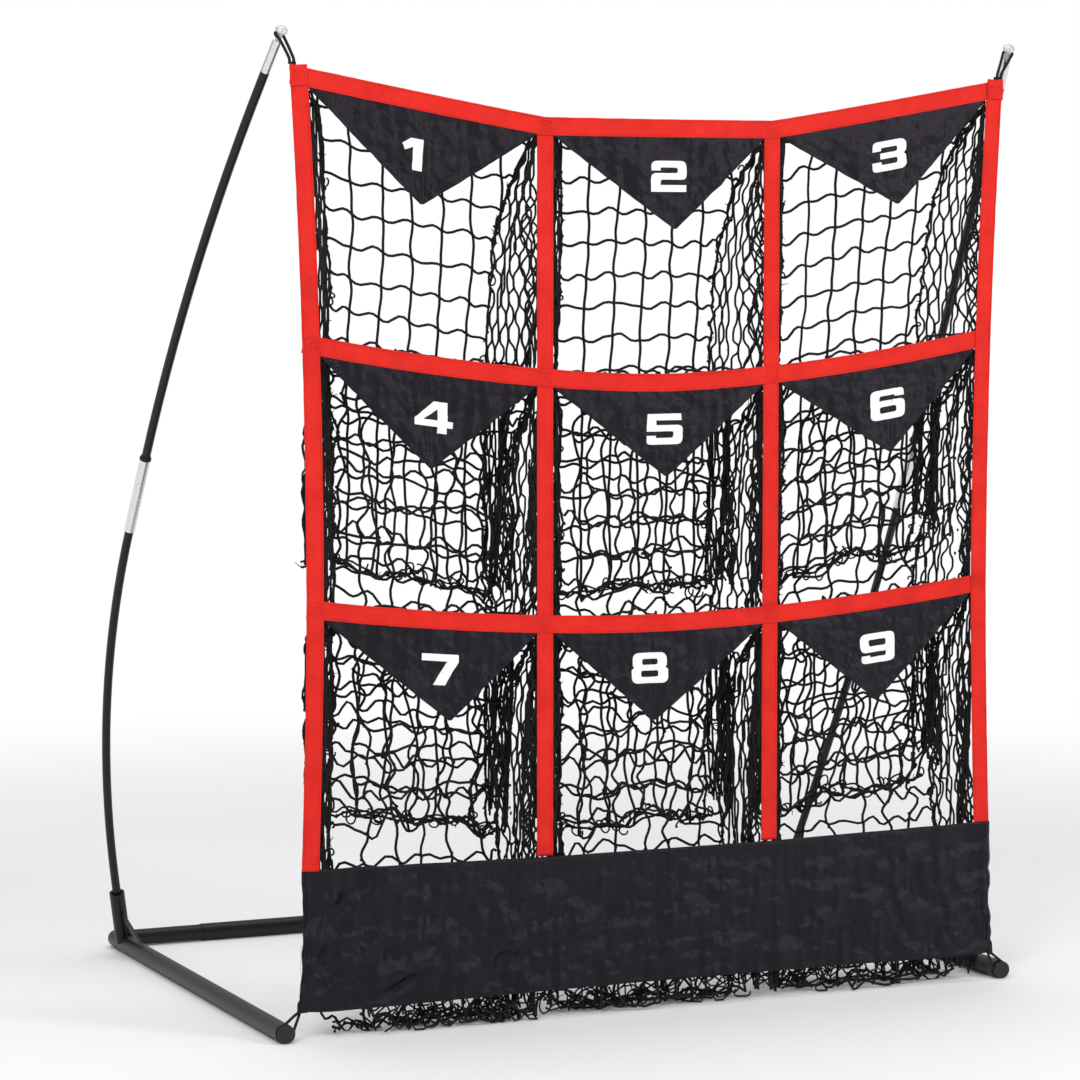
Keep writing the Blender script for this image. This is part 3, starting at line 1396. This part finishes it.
    def seam(self, side):
        """The knotted seam between gusset and back."""
        seam = self.seams[side]
        z = self.top(self.edge(side, 900 if self.row == 0 else 700)) - 4
        x = self.edge(side, z)
        line = [np.array([x - side * 3, 9.2, self.top(x) + 1])]
        for a, b in zip(seam[:-1], seam[1:]):
            for t in (0, 0.25, 0.5, 0.75):
                line.append(a + (b - a) * t + np.array([1.5, 1.4, 0]) * normal(3))
        line = np.array(line + [seam[-1]])
        line[:, 1] = np.maximum(line[:, 1], 9.2)
        step = np.arange(len(line))
        self.tube(line, 1.9 + 0.25 * np.sin(step * 1.7))
        wrap = np.column_stack((1.6 * np.sin(step * 2.1), 1.6 * np.cos(step * 2.1), 0 * step))
        self.tube(line + wrap, 1.25)
        for p in line[1:]:
            if rng.random() < 0.75:
                self.knot(p + normal(3) * 0.6, rng.uniform(2.2, 3.6))
            if rng.random() < 0.5:
                self.hair(p, rng.integers(1, 4), rng.uniform(4, 9))
            if rng.random() < 0.16:
                self.curl(p, rng.uniform(3.5, 7))

    def gathered_edge(self):
        """Gathered lower edge of the tail."""
        k = self.k
        middle = 112.0 if self.row < 2 else 38.0
        line = np.array([
            (x, middle + 16 * n1(x / 40, k + 2) + 4 * n1(x / 14, k + 30.0),
             max(3.0, self.end(x) + 3 + 9 * n1(x / 16, k + 50.0)))
            for x in np.arange(self.left + 24, self.right - 20, 9.0)])
        self.tube(line, 1.7)
        step = np.arange(len(line))
        self.tube(line + np.column_stack((3 * np.sin(step * 0.9), 4 * np.cos(step * 0.7),
                                          3.5 + 4.5 * np.sin(step * 0.8 + k))), 1.5)
        for p in line:
            if rng.random() < 0.7:
                self.knot(p, rng.uniform(2.2, 3.4))
            if rng.random() < 0.35:
                self.hair(p, 2, 7)
            if rng.random() < 0.45:
                self.curl(p, rng.uniform(5, 11))

    def ground_tangle(self):
        """The bottom row's tail lies on the ground in tangled folds."""
        middle = TANGLE_Y[self.col]
        step = np.arange(12)
        for q in range(26):
            start = rng.uniform(self.left + (50 if self.col == 0 else -4), self.right - 30)
            height = rng.uniform(6, 44)
            x = start + np.linspace(0, rng.uniform(45, 120), 12) + 7 * np.sin(step * 1.3 + q)
            phase = rng.uniform(0, 6)
            y = middle + rng.uniform(-26, 16) + 12 * np.sin(step * 0.9 + phase)
            z = (height + 12 * np.sin(step * 1.15 + phase * 2)
                 - 10 * np.sin(np.linspace(0, math.pi, 12)))
            path = np.column_stack((x, np.maximum(y, 9.5), np.clip(z, 1.7, 60)))
            self.tube(path, 1.4)
            for p in path[::3]:
                self.knot(p, 2.1)
        for _ in range(16):
            p = (rng.uniform(self.left + (60 if self.col == 0 else 0), self.right - 10),
                 max(12, middle + rng.uniform(-26, 14)), rng.uniform(8, 30))
            self.curl(np.array(p), rng.uniform(8, 17))


for k in range(1, 10):
    piece(Pocket(k), f"net_pocket_{k}", [NET], f"pocket_{k}")

# ------------------------------------------------------------------ elastic loops
ELASTIC_R = 2.1
NECK = np.array([559.53, 8.585, 1355.5])                 # middle of the knob's neck, right side
NECK_R = 4
TIP_UP = np.array([-0.143515, -0.582141, 0.800322])      # along the tip, right side
ACROSS = np.array([-0.705398, 0.627383, 0.329855])       # across the tip, inwards and back
TIP_FRONT = np.cross(TIP_UP, ACROSS)
ARM_X = 560.0
GROOVE_Y, GROOVE_Z, GROOVE_R = 5.6, 13.0, 8              # the front cap's groove


def top_loop(s, side):
    """From the panel's upper corner round the back of the knob's neck."""
    mirror = np.array([s, 1.0, 1.0])
    neck, up, inward, front = (v * mirror for v in (NECK, TIP_UP, ACROSS, TIP_FRONT))
    radius = NECK_R + ELASTIC_R + 0.7
    corner = np.array([s * 543.5, 6.4, 1319.0])
    ring = []
    for a in np.radians(np.linspace(-25, 205, 15)):
        ring.append(neck + inward * radius * math.cos(a) - front * radius * math.sin(a)
                    + up * 1.2 * math.sin(a))
    inner = corner + (-3.0 * s, -0.6, 6)
    outer = corner + (3.0 * s, -0.6, 6)
    points = ([corner + (-3.0 * s, 0.0, -1.0), inner, inner * 0.5 + ring[0] * 0.5 + (0, -0.8, 0)]
              + ring
              + [ring[-1] * 0.5 + outer * 0.5 + (0, -0.8, 0), outer,
                 corner + (3.0 * s, 0, -1.0)])
    part = Build()
    part.tube(even_path(points, 90, passes=6), ELASTIC_R, 12)
    ob = part.object(f"top_loop_{side}", [ELASTIC])
    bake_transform(ob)
    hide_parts(f"{side}_top_loop")


def top_knot(s, side, word, z0, z1):
    """One length of the top loop's knot, behind the corner; it crosses one joint."""
    x, y = s * 541.0, 8.6
    lower = word == "lower"
    part = Build()
    for off in (-2.6, 2.6):
        part.tube([(x + off * (math.cos((z - z0) / 4) if lower else 1),
                    y + 0.8 * math.sin(z / 3 + off), z) for z in np.linspace(z0, z1, 12)],
                  ELASTIC_R, 10)
    if lower:
        part.knot((x, 8.8, z0 + 2), 4.4)
    ob = part.object(f"top_loop_knot_{word}_{side}", [ELASTIC])
    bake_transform(ob)


def bottom_loop(s, side):
    """Round the front cap's groove and up to the skirt's corner."""
    radius = GROOVE_R + ELASTIC_R + 0.1
    cap = np.array([s * ARM_X, GROOVE_Y, GROOVE_Z])
    tie = np.array([s * (x_out(40) - 7.5), 6.4, 45.0])
    dx, dz = tie[0] - cap[0], tie[2] - cap[2]
    base = math.atan2(dz, dx)
    tangent = math.acos(radius / math.hypot(dx, dz))
    arc = [cap + (radius * math.cos(a), 0, radius * math.sin(a))
           for a in np.linspace(base + tangent, base - tangent + 2 * math.pi, 40)]
    above = tie + (0, 0, 2)
    points = [above + (2.0, 0, 2), tie + (1.6, -0.2, -2)]
    points += [tie * (1 - t) + arc[0] * t + (0, -0.3 * math.sin(math.pi * t), 0)
               for t in (0.3, 0.6, 0.85)]
    points += arc
    points += [tie * (1 - t) + arc[-1] * t + (0, 0.4 * math.sin(math.pi * t), 0)
               for t in (0.85, 0.6, 0.3)]
    points += [tie + (-1.6, 0.2, -2), above + (-2.0, 0, 2)]
    part = Build()
    part.tube(even_path(points, 110, passes=3), 2.05, 12)
    part.knot(tie + (0, 0.6, 2.5), 3.9)
    ob = part.object(f"bottom_loop_{side}", [ELASTIC])
    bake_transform(ob)
    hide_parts(f"{side}_bottom_loop")


for s, side in SIDES:
    top_loop(s, side)
    top_knot(s, side, "upper", 1311.0, 1321.5)
    top_knot(s, side, "lower", 1300.0, 1313.5)
    bottom_loop(s, side)


# ------------------------------------------------------------------ floor, light, camera
def floor_material():
    """Pale paint that fades to white in the distance, like a studio cove."""
    sh = Shader("floor_paint", {"Roughness": 0.6, "Specular IOR Level": 0.15})
    mottle = sh.noise(sh.place(), scale=1.5)
    sh.feed("Base Color", sh.ramp(mottle, (0.3, (0.975, 0.975, 0.98)),
                                  (0.7, (0.985, 0.985, 0.99))))
    glow = sh.add("Emission")
    glow.inputs["Color"].default_value = (1, 1, 1, 1)
    glow.inputs["Strength"].default_value = 1.0
    geometry = sh.add("NewGeometry")
    distance = sh.add("VectorMath")
    distance.operation = "LENGTH"
    sh.link(geometry.outputs["Position"], distance.inputs[0])
    fade = sh.add("MapRange")
    fade.interpolation_type = "SMOOTHSTEP"
    fade.inputs["From Min"].default_value = 1.1
    fade.inputs["From Max"].default_value = 3.2
    sh.link(distance.outputs["Value"], fade.inputs["Value"])
    mix = sh.add("MixShader")
    sh.link(fade.outputs["Result"], mix.inputs[0])
    sh.link(sh.main.outputs[0], mix.inputs[1])
    sh.link(glow.outputs[0], mix.inputs[2])
    output = next(n for n in sh.tree.nodes if n.type == "OUTPUT_MATERIAL")
    sh.link(mix.outputs[0], output.inputs["Surface"])
    return sh.material


def add_floor():
    mesh = bpy.data.meshes.new("floor")
    half = 30.0
    mesh.from_pydata([(-half, -half, 0), (half, -half, 0), (half, half, 0), (-half, half, 0)],
                     [], [(0, 1, 2, 3)])
    mesh.materials.append(floor_material())
    floor = bpy.data.objects.new("floor", mesh)
    scene.collection.objects.link(floor)
    floor.location.z = -0.0004


def add_world():
    """Soft light all round, pure white where the camera sees it."""
    world = bpy.data.worlds.new("studio")
    scene.world = world
    world.use_nodes = True
    tree = world.node_tree
    light = tree.nodes["Background"]
    light.inputs["Color"].default_value = (0.985, 0.99, 1.0, 1)
    light.inputs["Strength"].default_value = 0.52
    seen = tree.nodes.new("ShaderNodeBackground")
    seen.inputs["Color"].default_value = (1, 1, 1, 1)
    seen.inputs["Strength"].default_value = 1.0
    path = tree.nodes.new("ShaderNodeLightPath")
    mix = tree.nodes.new("ShaderNodeMixShader")
    tree.links.new(path.outputs["Is Camera Ray"], mix.inputs[0])
    tree.links.new(light.outputs[0], mix.inputs[1])
    tree.links.new(seen.outputs[0], mix.inputs[2])
    tree.links.new(mix.outputs[0], tree.nodes["World Output"].inputs[0])


def area(name, location, target, size, power):
    light = bpy.data.lights.new(name, "AREA")
    light.shape = "RECTANGLE"
    light.size, light.size_y = size
    light.energy = power
    ob = bpy.data.objects.new(name, light)
    ob.location = location
    aim = Vector(target) - Vector(location)
    ob.rotation_euler = aim.to_track_quat("-Z", "Y").to_euler()
    scene.collection.objects.link(ob)


def add_camera():
    data = bpy.data.cameras.new("camera")
    data.lens = 122.79
    data.sensor_width = 36
    data.clip_end = 200
    camera = bpy.data.objects.new("camera", data)
    camera.location = (-2.23427, -4.63625 + ARM_FRONT / 1000.0, 1.06866)
    camera.rotation_euler = (math.radians(90 - 4.46675), 0, -math.radians(23.8419))
    scene.collection.objects.link(camera)
    scene.camera = camera
    scene.view_settings.view_transform = "Standard"


add_floor()
add_world()
area("key", location=(-2.6, -3.4, 3.6), target=(0, 0, 0.6), size=(1.5, 1.5), power=85)
area("fill", location=(2.7, -3.7, 2.4), target=(0, 0, 0.6), size=(0.9, 1.3), power=62)
area("overhead", location=(0, 0.2, 4.2), target=(0, 0, 0), size=(3.0, 3.0), power=46)
add_camera()
